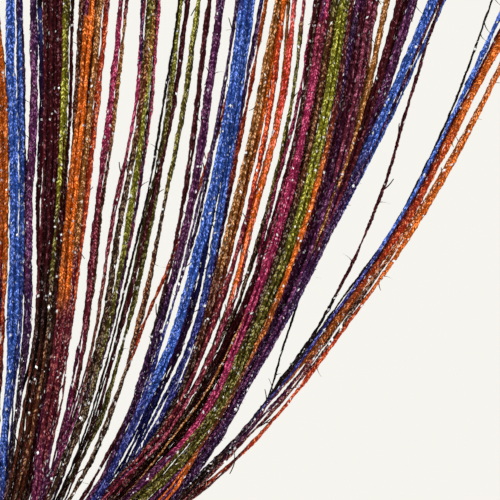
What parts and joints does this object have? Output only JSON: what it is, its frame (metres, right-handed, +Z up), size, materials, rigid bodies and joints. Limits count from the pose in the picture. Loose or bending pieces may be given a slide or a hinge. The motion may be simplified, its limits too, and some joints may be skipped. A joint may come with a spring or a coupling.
{
  "type": "string partition curtain",
  "caption": "String curtain on a rod pocket heading, its long knitted strings drawn aside by a cloth tie with a wall eye.",
  "frame": {"origin": "middle of the heading's top edge", "axes": "+X to the curtain's right as seen from its front, +Y to its back, +Z up"},
  "size_m": [0.5955, 0.0667, 2.0111],
  "materials": {
    "heading_cloth": "matt woven band in the strings' dark burgundy",
    "string_yarn": "knitted yarn of many colours, soft sheen",
    "tie_cloth": "matt woven band in dark plum",
    "blue_yarn": "knitted yarn, soft sheen",
    "plum_yarn": "knitted yarn, soft sheen",
    "burgundy_yarn": "knitted yarn, soft sheen",
    "magenta_yarn": "knitted yarn, soft sheen",
    "orange_yarn": "knitted yarn, soft sheen",
    "gold_yarn": "knitted yarn, soft sheen",
    "olive_yarn": "knitted yarn, soft sheen",
    "dark_yarn": "knitted yarn, soft sheen",
    "tinsel": "bright metallic thread"
  },
  "bodies": {
    "root": {"heading": "heading_cloth", "strings": "string_yarn", "tie": "tie_cloth"}
  },
  "joints": []
}
